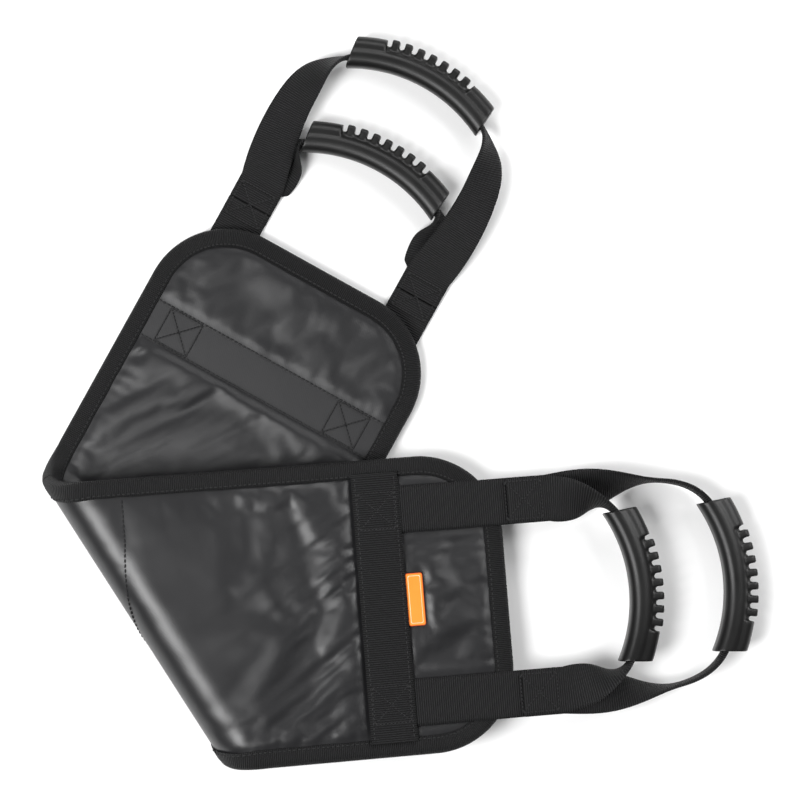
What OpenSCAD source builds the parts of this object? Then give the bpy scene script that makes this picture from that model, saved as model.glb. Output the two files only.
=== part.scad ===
// Padded gait belt: a quilted strip folded once, with two grip loops at each end.
// The strip is drawn flat along u (length), v (width) and h (out of the outer
// face), then placed on the lower half, the bend or the upper half of the fold.

/* [Pad] */
// Length of the padded strip
pad_length = 546; // [480:2:640]
// Width of the padded strip
pad_width = 203; // [190:1:230]
// Radius of the strip's corners
corner_r = 57; // [40:1:70]
// Thickness of the foam core
foam_t = 6; // [5:0.5:6.5]
// Thickness of the outer shell and of the lining
cover_t = 0.55; // [0.4:0.05:0.6]
// Visible width of the edge binding
binding_w = 12.5; // [10:0.5:16]

/* [Fold] */
// Radius of the bend at the middle of the pad
bend_r = 20; // [19:0.5:24]
// Direction of the fold line, from +X
fold_dir = 122.7; // [115:0.1:130]
// Slant of the strip against the square-on direction of the fold
strip_slant = -28.3; // [-32:0.1:-24]
// How far the fold lies from the middle of the strip
fold_shift = 25; // [15:1:35]
// Downward slope of the upper half
upper_slope = 7.5; // [6:0.5:8]

/* [Webbing] */
// Width of the webbing
web_w = 32; // [28:1:34]
// Thickness of the webbing
web_t = 1.4; // [1.2:0.1:1.5]
// Width of the webbing where it is gathered into a grip
web_gathered_w = 19; // [17:1:20]
// Distance from a strap's centre to the pad's centre line
strap_v = 66; // [60:1:70]
// Distance from the pad's end to the cross band
band_from_end = 70; // [60:1:80]
// Length of the box-stitched overlap just past the pad's end
overlap_l = 29; // [26:1:34]

/* [Grips] */
// Reach of the inner grip from the pad's end
inner_reach = 91.5; // [85:0.5:100]
// Reach of the outer grip from the pad's end
outer_reach = 157.5; // [150:0.5:170]
// Inside radius of a grip's curve
grip_r = 104.5; // [98:0.5:115]
// Angle that a grip spans
grip_angle = 54.9; // [50:0.1:60]
// Thickness of a grip across its curve
grip_t = 15.5; // [14:0.5:17]
// Depth of a grip
grip_d = 22; // [21:0.5:24]
// Height of the finger ribs
rib_h = 7.5; // [5:0.5:9]
// Number of finger ribs
rib_count = 7; // [5:1:8]

/* [Label] */
// Length of the blank label tab
tab_l = 36; // [30:1:40]
// Width of the blank label tab
tab_w = 12; // [10:1:14]

/* [Hidden] */
$fn = 64;

half_l = pad_length / 2;
half_w = pad_width / 2;
layer_gap = 0.05;
foam_h = foam_t / 2;
cover_lo = foam_h + layer_gap;
cover_hi = cover_lo + cover_t;
skin_lo = cover_hi + layer_gap;
skin_hi = skin_lo + 0.75;
core_inset = 2.4;
foam_inset = 3;
web_lo = skin_hi + 0.1;
web_hi = web_lo + web_t;
top_lo = web_hi + 0.1;
top_hi = top_lo + web_t;
pad_z = top_hi;
band_near = half_l - band_from_end;
band_far = band_near - web_w;
band_half = half_w - binding_w + 1;
pivot_gap = 2;
loop_gap = 1;
top_layer_start = 5;
back_hinge_u = 3;
overlap_end = overlap_l + pivot_gap;

// Fold: the bend is cut at two hinge lines, and each opens by half of the fold.
fold_angle = 180 + upper_slope;
hinge_phi = [fold_angle / 4, 3 * fold_angle / 4];
cut_gap = 0.6;
bend_steps = 8;
deg_len = bend_r * PI / 180;
join = -0.05;

// The origin is the middle of the lower cross band's underside.
band_mid_u = -(band_near + band_far) / 2;
band_mid_w = fold_shift + band_mid_u * cos(strip_slant);
band_mid_q = band_mid_u * sin(strip_slant);

// Loops: the upper end's loops dip to the floor, and the lower end's rise a
// little and are skewed sideways.
front_loop_tilt = -3.4;
front_skew = 1.2;
back_loop_rise = 3.2;
back_skew = 1.2;
back_outer_reach = outer_reach - 5;
back_inner_reach = inner_reach - 5;
web_mid_h = (web_lo + web_hi) / 2;
top_mid_h = (top_lo + top_hi) / 2;

shell_colour = [0.17, 0.17, 0.18];
lining_colour = [0.24, 0.24, 0.25];
binding_colour = [0.12, 0.12, 0.13];
web_colour = [0.15, 0.15, 0.16];
foam_colour = [0.75, 0.75, 0.7];
grip_colour = [0.1, 0.1, 0.1];
tab_colour = [0.9, 0.38, 0.1];

// ---- Placing ----

module fold_frame() {
    rotate([0, 0, fold_dir - 90])
        translate([band_mid_w, -band_mid_q, pad_z + bend_r])
            children();
}

// Children are drawn in (w, q, h): w crosses the fold, q runs along it.
module on_fold(phi) {
    fold_frame()
        rotate([0, phi - 180, 0])
            translate([-phi * deg_len, 0, bend_r])
                children();
}

// Children are drawn in the strip's own (u, v, h).
module on_lower() {
    on_fold(0) translate([fold_shift, 0, 0]) rotate([0, 0, strip_slant]) children();
}

module on_upper() {
    on_fold(fold_angle) translate([fold_shift, 0, 0]) rotate([0, 0, strip_slant]) children();
}

// A loop is drawn from its hinge line: u away from the pad, h out of the outer face.
module front_loops() {
    on_upper() translate([half_l, 0, web_mid_h]) rotate([0, front_loop_tilt, 0]) children();
}

module back_loops() {
    on_lower() translate([-half_l, 0, web_mid_h]) mirror([1, 0, 0])
        rotate([0, back_loop_rise, 0]) children();
}

// ---- Flat halves of the strip ----

module rounded_strip(inset) {
    r = corner_r - inset;
    x = half_l - corner_r;
    y = half_w - corner_r;
    square([2 * x, 2 * (half_w - inset)], center = true);
    square([2 * (half_l - inset), 2 * y], center = true);
    for (sx = [-1, 1], sy = [-1, 1])
        translate([sx * x, sy * y])
            circle(r);
}

// The part of the strip before the bend starts, or after it ends, in (u, v).
// Each stops a hair short of the bend, which is a solid of its own.
module lower_side() {
    rotate([0, 0, -strip_slant])
        translate([-fold_shift - 2 * pad_length + join, -pad_length])
            square([2 * pad_length, 2 * pad_length]);
}

module upper_side() {
    rotate([0, 0, -strip_slant])
        translate([-fold_shift + fold_angle * deg_len - join, -pad_length])
            square([2 * pad_length, 2 * pad_length]);
}

module sheet_layer(inset, h_lo, h_hi, upper) {
    translate([0, 0, h_lo])
        linear_extrude(h_hi - h_lo)
            intersection() {
                rounded_strip(inset);
                if (upper) upper_side(); else lower_side();
            }
}

module binding_ring(upper) {
    difference() {
        sheet_layer(0, -skin_hi, skin_hi, upper);
        difference() {
            sheet_layer(core_inset - layer_gap, -skin_lo, skin_lo, upper);
            sheet_layer(binding_w, -skin_lo - 1, skin_lo + 1, upper);
        }
        sheet_layer(binding_w, -skin_hi - 1, skin_hi + 1, upper);
    }
}

// ---- The bend ----

function along(v, phi) =
    let (u = (phi * deg_len - fold_shift + v * sin(strip_slant)) / cos(strip_slant))
    u * sin(strip_slant) + v * cos(strip_slant);

function on_bend(v, phi, h) =
    [-(bend_r + h) * sin(phi), along(v, phi), -(bend_r + h) * cos(phi)];

// One closed solid from a list of rings that all have the same number of corners.
// Each end is closed by the triangles in caps.
module swept(rings, caps = [[0, 1, 2], [0, 2, 3]]) {
    n = len(rings);
    m = len(rings[0]);
    pts = [for (ring = rings) for (p = ring) p];
    sides = [for (i = [0:n - 2]) for (k = [0:m - 1])
        let (a = m * i + k, b = m * i + (k + 1) % m)
        each [[a, a + m, b + m], [a, b + m, b]]];
    last = [for (c = caps) [for (k = [2:-1:0]) m * (n - 1) + c[k]]];
    polyhedron(pts, concat(sides, caps, last), convexity = 4);
}

module bent_layer(v_lo, v_hi, h_lo, h_hi, phi_from, phi_to) {
    swept([for (i = [0:bend_steps])
        let (phi = phi_from + (phi_to - phi_from) * i / bend_steps)
        [on_bend(v_lo, phi, h_lo), on_bend(v_hi, phi, h_lo),
         on_bend(v_hi, phi, h_hi), on_bend(v_lo, phi, h_hi)]]);
}

// The binding's section wraps the strip's edge: [distance from the edge, h].
binding_section = [
    [0, -skin_hi], [0, skin_hi], [binding_w, skin_hi], [binding_w, skin_lo],
    [core_inset - layer_gap, skin_lo], [core_inset - layer_gap, -skin_lo],
    [binding_w, -skin_lo], [binding_w, -skin_hi]
];

binding_caps = [[0, 1, 4], [0, 4, 5], [1, 2, 3], [1, 3, 4], [0, 5, 6], [0, 6, 7]];
binding_caps_mirrored = [for (c = binding_caps) [7 - c[0], 7 - c[2], 7 - c[1]]];

module bent_binding(phi_from, phi_to) {
    corners = len(binding_section) - 1;
    for (side = [-1, 1])
        swept([for (i = [0:bend_steps])
            let (phi = phi_from + (phi_to - phi_from) * i / bend_steps)
            [for (k = [0:corners])
                let (c = binding_section[side > 0 ? k : corners - k])
                on_bend(side * (half_w - c[0]), phi, c[1])]],
            side > 0 ? binding_caps : binding_caps_mirrored);
}

// Spans of the bend that belong to the lower half, the middle and the upper half.
spans = [
    [0, hinge_phi[0] - cut_gap],
    [hinge_phi[0] + cut_gap, hinge_phi[1] - cut_gap],
    [hinge_phi[1] + cut_gap, fold_angle]
];

module pad_layer(part, inset, h_lo, h_hi) {
    v = half_w - inset;
    span = spans[part];
    fold_frame() bent_layer(-v, v, h_lo, h_hi, span[0], span[1]);
    if (part == 0) on_lower() sheet_layer(inset, h_lo, h_hi, false);
    if (part == 2) on_upper() sheet_layer(inset, h_lo, h_hi, true);
}

module binding_part(part) {
    span = spans[part];
    fold_frame() bent_binding(span[0], span[1]);
    if (part == 0) on_lower() binding_ring(false);
    if (part == 2) on_upper() binding_ring(true);
}

module foam_core(part) { color(foam_colour) pad_layer(part, foam_inset, -foam_h, foam_h); }
module outer_shell(part) { color(shell_colour) pad_layer(part, core_inset, cover_lo, cover_hi); }
module inner_lining(part) { color(lining_colour) pad_layer(part, core_inset, -cover_hi, -cover_lo); }
module edge_binding(part) { color(binding_colour) binding_part(part); }

// ---- Webbing sewn to the pad ----

// A flat length of webbing, side = 1 towards the upper end, -1 towards the lower.
module flat_web(side, u_from, u_to, v, h) {
    translate([side > 0 ? u_from : -u_to, v - web_w / 2, h])
        cube([u_to - u_from, web_w, web_t]);
}

module cross_band(side) {
    translate([side > 0 ? band_near - web_w : -band_near, -band_half, top_lo])
        cube([web_w, 2 * band_half, web_t]);
}

module strap_tails(side, hinge_u = 0) {
    for (v = [-strap_v, strap_v])
        flat_web(side, band_far, half_l + hinge_u - pivot_gap, v, web_lo);
}

module cross_band_back() { color(web_colour) on_lower() cross_band(-1); }
module cross_band_front() { color(web_colour) on_upper() cross_band(1); }
module strap_tails_back() { color(web_colour) on_lower() strap_tails(-1, back_hinge_u); }
module strap_tails_front() { color(web_colour) on_upper() strap_tails(1); }

module label_tab() {
    color(tab_colour)
        on_upper()
            translate([band_near + 0.3, 4 - tab_l / 2, cover_hi + layer_gap])
                cube([tab_w, tab_l, 1.3]);
}

// ---- Grips ----

grip_mid_r = grip_r + grip_t / 2;
rib_pitch = 4.2;
rib_arc = 2.45;
lip_from = 15.4;
end_overrun = 4;
end_tilt = 6;
step_h = 2;
slot_t = 3.8;
slot_w = web_gathered_w + 1;

module at_grip(reach, skew) {
    rotate([0, 0, skew])
        translate([reach - grip_mid_r, 0, 0])
            children();
}

module grip_arc(from_angle, span) {
    rotate([0, 0, from_angle])
        rotate_extrude(angle = span, $fn = 180)
            children();
}

module round_section(r_lo, r_hi, depth, round_r) {
    translate([r_lo + round_r, -depth / 2]) square([r_hi - r_lo - 2 * round_r, depth]);
    translate([r_lo, -depth / 2 + round_r]) square([r_hi - r_lo, depth - 2 * round_r]);
    for (x = [r_lo + round_r, r_hi - round_r], y = [-1, 1])
        translate([x, y * (depth / 2 - round_r)])
            circle(round_r, $fn = 32);
}

module grip_body() {
    half = grip_angle / 2;
    difference() {
        union() {
            grip_arc(-half - end_overrun, grip_angle + 2 * end_overrun)
                round_section(grip_r, grip_r + grip_t, grip_d, 6);
            grip_arc(-lip_from - 1, 2 * lip_from + 2)
                round_section(grip_r + 8, grip_r + grip_t + step_h, grip_d - 6, 2);
            for (a = [-half - end_overrun, lip_from])
                grip_arc(a, half + end_overrun - lip_from)
                    round_section(grip_r + 6, grip_r + grip_t + rib_h - 1, grip_d, 3);
            for (i = [0:rib_count - 1])
                grip_arc((i - (rib_count - 1) / 2) * rib_pitch - rib_arc / 2, rib_arc)
                    round_section(grip_r + 8, grip_r + grip_t + rib_h, grip_d - 4, 1.2);
        }
        grip_arc(-half - end_overrun - 1, grip_angle + 2 * end_overrun + 2)
            translate([grip_mid_r - slot_t / 2, -slot_w / 2])
                square([slot_t, slot_w]);
        for (side = [-1, 1])
            translate([grip_mid_r * cos(half), side * grip_mid_r * sin(half), 0])
                rotate([0, 0, side * end_tilt])
                    translate([-30, side > 0 ? 0 : -30, -grip_d])
                        cube([60, 30, 2 * grip_d]);
    }
}

// ---- Loop straps ----

function bezier(p, t) =
    pow(1 - t, 3) * p[0] + 3 * t * pow(1 - t, 2) * p[1]
    + 3 * t * t * (1 - t) * p[2] + pow(t, 3) * p[3];

function bezier_slope(p, t) =
    3 * pow(1 - t, 2) * (p[1] - p[0]) + 6 * t * (1 - t) * (p[2] - p[1])
    + 3 * t * t * (p[3] - p[2]);

function smooth(t) = t * t * (3 - 2 * t);

function ramp(t, from, to) = smooth(max(0, min(1, (t - from) / (to - from))));

// Four corners of the webbing at t, turned on edge and gathered as it goes.
function web_ring(p, t, side, turn_over, thick_end) =
    let (
        centre = bezier(p, t),
        dir = bezier_slope(p, t) / norm(bezier_slope(p, t)),
        square_on = [-dir[1], dir[0], 0] / norm([dir[0], dir[1], 0]),
        mixed = [0, 1, 0] * (1 - ramp(t, 0, 0.3)) + square_on * ramp(t, 0, 0.3),
        across = mixed / norm(mixed),
        up = cross(dir, across),
        turn = 90 * ramp(t, turn_over[0], turn_over[1]) * side,
        wide = cos(turn) * across + sin(turn) * up,
        thick = cos(turn) * up - sin(turn) * across,
        w = web_w + (web_gathered_w - web_w) * smooth(t),
        h = web_t + (thick_end - web_t) * smooth(t)
    )
    [centre - wide * w / 2 - thick * h / 2, centre + wide * w / 2 - thick * h / 2,
     centre + wide * w / 2 + thick * h / 2, centre - wide * w / 2 + thick * h / 2];

strap_steps = 14;
core_t = 2.8;
mouth_depth = 3;

// Where a strap enters a grip, and the direction it enters in.
function mouth(reach, skew, side) =
    let (a = side * (grip_angle / 2 - mouth_depth / grip_mid_r * 180 / PI), r = grip_mid_r,
         x = reach - r + r * cos(a), y = r * sin(a))
    [x * cos(skew) - y * sin(skew), x * sin(skew) + y * cos(skew), 0];

function mouth_dir(skew, side) =
    let (a = side * grip_angle / 2 + skew) [sin(a) * side, -cos(a) * side, 0];

// bend = how far the leg runs straight at each end, and how far it bows outwards;
// lift = how far it arches.
module strap_leg(start_u, h, reach, skew, side, grip_h, turn_over, bend, lift) {
    start = [start_u, side * strap_v, h];
    finish = mouth(reach, skew, side) + [0, 0, grip_h];
    gap = norm(finish - start);
    rise = [0, 0, lift];
    ctrl = [start, start + [gap * bend[0], side * bend[2], 0] + rise,
            finish - mouth_dir(skew, side) * gap * bend[1] + rise, finish];
    swept([for (i = [0:strap_steps])
        web_ring(ctrl, i / strap_steps, side, turn_over, core_t)]);
}

module loop_strap(start_u, h, reach, skew, grip_h, turn_over, bend, lift = 0) {
    for (side = [-1, 1])
        strap_leg(start_u, h, reach, skew, side, grip_h, turn_over, bend, lift);
    translate([0, 0, grip_h])
        at_grip(reach, skew)
            grip_arc(-grip_angle / 2 + 1, grip_angle - 2)
                translate([grip_mid_r - core_t / 2, -web_gathered_w / 2])
                    square([core_t, web_gathered_w]);
}

// Box-stitched overlap just past the pad's end.
module overlap(level, from_u) {
    for (v = [-strap_v, strap_v])
        translate([from_u, v - web_w / 2, level - web_t / 2])
            cube([overlap_end - from_u, web_w, web_t]);
}

layer_step = top_mid_h - web_mid_h;
long_turn = [0, 0.6];
long_bend = [0.45, 0.3, 6];
long_lift = -4;
short_turn = [0.1, 0.9];
short_bend = [0.3, 0.3, -4];
short_lift = 8;
back_long_turn = [0.5, 1];
back_long_bend = [0.35, 0.3, 8];
back_long_lift = -15;
back_short_turn = [0.3, 1];
back_short_bend = [0.3, 0.3, -14];
back_short_lift = 3;
front_outer_h = 0;
front_inner_h = 2;
back_grip_h = top_hi - web_mid_h - grip_d / 2;
back_inner_h = back_grip_h + back_inner_reach * sin(back_loop_rise) - 1.6;
back_outer_h = back_grip_h + back_outer_reach * sin(back_loop_rise) - 1.6;

module front_long_strap() {
    color(web_colour) front_loops() {
        overlap(0, pivot_gap);
        loop_strap(overlap_end, 0, outer_reach, front_skew, front_outer_h, long_turn, long_bend,
            long_lift);
    }
}

module front_short_strap_ends() {
    color(web_colour) front_loops() overlap(layer_step, top_layer_start);
}

module front_short_strap() {
    color(web_colour) front_loops()
        loop_strap(overlap_end + 2 * loop_gap, layer_step, inner_reach, front_skew,
            front_inner_h, short_turn, short_bend, short_lift);
}

module front_outer_grip() {
    color(grip_colour) front_loops()
        translate([0, 0, front_outer_h]) at_grip(outer_reach, front_skew) grip_body();
}

module front_inner_grip() {
    color(grip_colour) front_loops()
        translate([0, 0, front_inner_h]) at_grip(inner_reach, front_skew) grip_body();
}

module back_short_strap() {
    color(web_colour) back_loops() {
        overlap(layer_step, back_hinge_u + top_layer_start);
        loop_strap(overlap_end, layer_step, back_inner_reach, back_skew, back_inner_h,
            back_short_turn, back_short_bend, back_short_lift);
    }
}

module back_long_strap_ends() {
    color(web_colour) back_loops() overlap(0, back_hinge_u + pivot_gap);
}

module back_long_strap() {
    color(web_colour) back_loops()
        loop_strap(overlap_end + 2 * loop_gap, 0, back_outer_reach, back_skew, back_outer_h,
            back_long_turn, back_long_bend, back_long_lift);
}

module back_outer_grip() {
    color(grip_colour) back_loops()
        translate([0, 0, back_outer_h]) at_grip(back_outer_reach, back_skew) grip_body();
}

module back_inner_grip() {
    color(grip_colour) back_loops()
        translate([0, 0, back_inner_h]) at_grip(back_inner_reach, back_skew) grip_body();
}

foam_core(0);  // foam_core_back
outer_shell(0);  // outer_shell_back
inner_lining(0);  // inner_lining_back
edge_binding(0);  // edge_binding_back
cross_band_back();
strap_tails_back();
foam_core(1);  // foam_core_bend
outer_shell(1);  // outer_shell_bend
inner_lining(1);  // inner_lining_bend
edge_binding(1);  // edge_binding_bend
foam_core(2);  // foam_core_front
outer_shell(2);  // outer_shell_front
inner_lining(2);  // inner_lining_front
edge_binding(2);  // edge_binding_front
cross_band_front();
strap_tails_front();
label_tab();
front_long_strap();
front_outer_grip();
front_short_strap_ends();
front_short_strap();
front_inner_grip();
back_short_strap();
back_inner_grip();
back_long_strap_ends();
back_long_strap();
back_outer_grip();
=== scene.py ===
import math

import bmesh
import bpy
import numpy as np
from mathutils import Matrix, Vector, noise


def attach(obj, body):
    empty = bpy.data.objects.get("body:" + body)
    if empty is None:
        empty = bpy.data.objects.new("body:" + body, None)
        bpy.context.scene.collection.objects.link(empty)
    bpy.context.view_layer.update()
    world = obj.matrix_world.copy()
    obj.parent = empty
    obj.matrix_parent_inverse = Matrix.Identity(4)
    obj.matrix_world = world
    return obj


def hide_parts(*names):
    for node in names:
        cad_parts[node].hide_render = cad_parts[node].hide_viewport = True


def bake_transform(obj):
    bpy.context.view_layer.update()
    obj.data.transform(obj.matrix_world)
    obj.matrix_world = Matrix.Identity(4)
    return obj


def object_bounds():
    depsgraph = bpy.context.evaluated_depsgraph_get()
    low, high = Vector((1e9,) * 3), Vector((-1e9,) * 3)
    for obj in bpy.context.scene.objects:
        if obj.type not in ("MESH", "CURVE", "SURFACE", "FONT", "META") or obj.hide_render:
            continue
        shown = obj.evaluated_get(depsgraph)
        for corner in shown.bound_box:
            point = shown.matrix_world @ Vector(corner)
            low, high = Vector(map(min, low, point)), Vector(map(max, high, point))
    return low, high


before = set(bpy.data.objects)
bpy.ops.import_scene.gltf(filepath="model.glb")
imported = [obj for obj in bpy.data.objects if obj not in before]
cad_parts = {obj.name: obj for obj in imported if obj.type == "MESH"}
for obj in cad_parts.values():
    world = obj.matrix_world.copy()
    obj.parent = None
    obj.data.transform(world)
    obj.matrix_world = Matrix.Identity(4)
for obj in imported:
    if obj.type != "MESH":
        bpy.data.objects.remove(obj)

CAD_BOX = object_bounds()
MM = 0.001

# ---- Driving dimensions, in mm and degrees, as in the CAD ----

PAD_L, PAD_W, CORNER_R = 546.0, 203.0, 57.0
HALF_L, HALF_W = PAD_L / 2, PAD_W / 2
BINDING_W = 12.5
BEND_R, FOLD_DIR, SLANT, FOLD_SHIFT, SLOPE = 20.0, 122.7, -28.3, 25.0, 7.5
FOLD_ANGLE = 180.0 + SLOPE
COVER_H, SKIN_H = 3.6, 4.4
WEB_W, WEB_T, GATHERED_W, GATHERED_T = 32.0, 1.4, 19.0, 2.8
WEB_H = SKIN_H + 0.1 + WEB_T / 2
TOP_H = WEB_H + WEB_T + 0.1
PAD_Z = TOP_H + WEB_T / 2
STRAP_V = 66.0
BAND_NEAR = HALF_L - 70.0
BAND_FAR = BAND_NEAR - WEB_W
STITCH_IN = 2.5
OVERLAP = 31.0
PIVOT_GAP = 2
SEAM_U = 15.0
GRIP_R, GRIP_ANGLE, GRIP_T, GRIP_D, RIB_H = 104.5, 54.9, 15.5, 22.0, 7.5
RIB_COUNT, RIB_PITCH, RIB_HALF_ARC = 7, 4.2, 1.2
LIP_FROM, END_OVERRUN, END_TILT = 15.4, 4, 6.0
GRIP_MID = GRIP_R + GRIP_T / 2
TAB_L, TAB_W = 36.0, 12.0


# ---- Placing: the flat strip (u, v, h) wrapped round the fold ----

def shift(x, y, z):
    m = np.eye(4)
    m[:3, 3] = (x, y, z)
    return m


def turn(axis, degrees):
    c, s = math.cos(math.radians(degrees)), math.sin(math.radians(degrees))
    m = np.eye(4)
    i, j = {"y": (2, 0), "z": (0, 1)}[axis]
    m[i, i] = m[j, j] = c
    m[i, j], m[j, i] = -s, s
    return m


def carry(m, points):
    points = np.asarray(points, float).reshape(-1, 3)
    return points @ m[:3, :3].T + m[:3, 3]


COS, SIN = math.cos(math.radians(SLANT)), math.sin(math.radians(SLANT))
BAND_MID_U = -(BAND_NEAR + BAND_FAR) / 2
FOLD = (turn("z", FOLD_DIR - 90)
        @ shift(FOLD_SHIFT + BAND_MID_U * COS, -BAND_MID_U * SIN, PAD_Z + BEND_R))
W_MID = BEND_R * math.radians(FOLD_ANGLE) / 2
W_END = 2 * W_MID


def to_uv(w, q):
    w = w - FOLD_SHIFT
    return w * COS + q * SIN, -w * SIN + q * COS


def to_wq(u, v):
    return FOLD_SHIFT + u * COS - v * SIN, u * SIN + v * COS


def wrap(w, q, h):
    """World points, in mm, of strip points given across and along the fold."""
    w, q, h = np.broadcast_arrays(np.asarray(w, float), q, h)
    phi = np.clip(w / BEND_R, 0, math.radians(FOLD_ANGLE))
    past = np.maximum(w - W_END, 0)
    slope = math.radians(SLOPE)
    p = -(BEND_R + h) * np.sin(phi) + np.maximum(-w, 0) + past * math.cos(slope)
    z = -(BEND_R + h) * np.cos(phi) - past * math.sin(slope)
    return carry(FOLD, np.stack([p, q, z], -1))


def on_strip(u, v, h):
    w, q = to_wq(np.asarray(u, float), np.asarray(v, float))
    return wrap(w, q, h)


def flap(phi):
    return (FOLD @ turn("y", phi - 180) @ shift(-math.radians(phi) * BEND_R, 0, BEND_R)
            @ shift(FOLD_SHIFT, 0, 0) @ turn("z", SLANT))


MIRROR = np.diag([-1.0, 1.0, 1.0, 1.0])
FRONT_TILT, BACK_TILT = -3.4, 3.2
# The pad's ends with x outwards, first level with the pad and then tilted for the loops.
FRONT_FLAT = flap(FOLD_ANGLE) @ shift(HALF_L, 0, WEB_H)
BACK_FLAT = flap(0) @ shift(-HALF_L, 0, WEB_H) @ MIRROR
FRONT = FRONT_FLAT @ turn("y", FRONT_TILT)
BACK = BACK_FLAT @ turn("y", BACK_TILT)


# ---- Materials ----

def material(name, colour, rough, **sockets):
    m = bpy.data.materials.new(name)
    m.use_nodes = True
    tree = m.node_tree
    shader = tree.nodes["Principled BSDF"]
    shader.inputs["Base Color"].default_value = (*colour, 1)
    shader.inputs["Roughness"].default_value = rough
    for key, value in sockets.items():
        shader.inputs[key.replace("_", " ")].default_value = value
    return m, tree, shader


def node(tree, kind, **values):
    n = tree.nodes.new(kind)
    for key, value in values.items():
        if key in n.inputs:
            n.inputs[key].default_value = value
        else:
            setattr(n, key.lower().replace(" ", "_"), value)
    return n


def strip_coords(tree, scale):
    """The strip's own flat coordinates, in mm, so that a weave follows the cloth."""
    coords = node(tree, "ShaderNodeUVMap")
    place = node(tree, "ShaderNodeMapping", Scale=scale)
    tree.links.new(coords.outputs["UV"], place.inputs["Vector"])
    return place.outputs["Vector"]


def object_coords(tree, scale):
    coords = node(tree, "ShaderNodeTexCoord")
    place = node(tree, "ShaderNodeMapping", Scale=scale)
    tree.links.new(coords.outputs["Object"], place.inputs["Vector"])
    return place.outputs["Vector"]


def vary_colour(tree, shader, factor, low, high):
    ramp = node(tree, "ShaderNodeValToRGB")
    ramp.color_ramp.elements[0].color = (*low, 1)
    ramp.color_ramp.elements[1].color = (*high, 1)
    tree.links.new(factor, ramp.inputs["Fac"])
    tree.links.new(ramp.outputs["Color"], shader.inputs["Base Color"])


def vary_rough(tree, shader, factor, low, high):
    span = node(tree, "ShaderNodeMapRange")
    span.inputs["To Min"].default_value = low
    span.inputs["To Max"].default_value = high
    tree.links.new(factor, span.inputs["Value"])
    tree.links.new(span.outputs["Result"], shader.inputs["Roughness"])


def add_bumps(tree, shader, *layers):
    """Each layer is (height output, strength, distance in metres)."""
    normal = None
    for height, strength, distance in layers:
        bump = node(tree, "ShaderNodeBump", Strength=strength, Distance=distance)
        tree.links.new(height, bump.inputs["Height"])
        if normal:
            tree.links.new(normal, bump.inputs["Normal"])
        normal = bump.outputs["Normal"]
    tree.links.new(normal, shader.inputs["Normal"])


def nylon(name, low, high, rough, gloss):
    m, tree, shader = material(name, low, rough, Sheen_Weight=0.04, Sheen_Roughness=0.4,
                               Specular_IOR_Level=gloss)
    threads = strip_coords(tree, (1, 1, 1))
    warp = node(tree, "ShaderNodeTexWave", Scale=0.62)
    weft = node(tree, "ShaderNodeTexWave", Scale=0.62, bands_direction="Y")
    twill = node(tree, "ShaderNodeTexWave", Scale=0.3, bands_direction="DIAGONAL")
    patches = node(tree, "ShaderNodeTexNoise", Scale=0.02, Detail=3.0)
    for n in (warp, weft, twill, patches):
        tree.links.new(threads, n.inputs["Vector"])
    vary_colour(tree, shader, patches.outputs["Fac"], low, high)
    vary_rough(tree, shader, patches.outputs["Fac"], rough - 0.06, rough + 0.06)
    add_bumps(tree, shader, (warp.outputs["Fac"], 0.10, 0.0002),
              (weft.outputs["Fac"], 0.10, 0.0002), (twill.outputs["Fac"], 0.06, 0.0002))
    return m


def webbing(name, low, high, rib):
    m, tree, shader = material(name, low, 0.6, Sheen_Weight=0.02, Sheen_Roughness=0.5,
                               Specular_IOR_Level=0.2)
    threads = strip_coords(tree, (1, 1, 1))
    ribs = node(tree, "ShaderNodeTexWave", Scale=0.314 / rib, Distortion=0.6)
    ribs.inputs["Detail Scale"].default_value = 2.0
    cords = node(tree, "ShaderNodeTexWave", Scale=0.314 / 0.9, bands_direction="Y")
    fuzz = node(tree, "ShaderNodeTexNoise", Scale=1.6, Detail=4.0)
    for n in (ribs, cords, fuzz):
        tree.links.new(threads, n.inputs["Vector"])
    # The colour follows rib height times noise: painted shade in the grooves between ribs and
    # painted light on their crests, plus random tone from the noise.
    painted_rib_shade = node(tree, "ShaderNodeMath", operation="MULTIPLY")
    tree.links.new(ribs.outputs["Fac"], painted_rib_shade.inputs[0])
    tree.links.new(fuzz.outputs["Fac"], painted_rib_shade.inputs[1])
    vary_colour(tree, shader, painted_rib_shade.outputs["Value"], low, high)
    add_bumps(tree, shader, (ribs.outputs["Fac"], 1.0, 0.0008),
              (cords.outputs["Fac"], 0.25, 0.0003), (fuzz.outputs["Fac"], 0.2, 0.0003))
    return m


def rubber(name, low, high, rough, grain):
    m, tree, shader = material(name, low, rough, Specular_IOR_Level=0.3)
    skin = object_coords(tree, (1, 1, 1))
    fine = node(tree, "ShaderNodeTexNoise", Scale=grain, Detail=5.0)
    smears = node(tree, "ShaderNodeTexNoise", Scale=40.0, Detail=3.0)
    for n in (fine, smears):
        tree.links.new(skin, n.inputs["Vector"])
    vary_colour(tree, shader, smears.outputs["Fac"], low, high)
    vary_rough(tree, shader, smears.outputs["Fac"], rough - 0.07, rough + 0.09)
    add_bumps(tree, shader, (fine.outputs["Fac"], 0.18, 0.0004))
    return m


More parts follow.
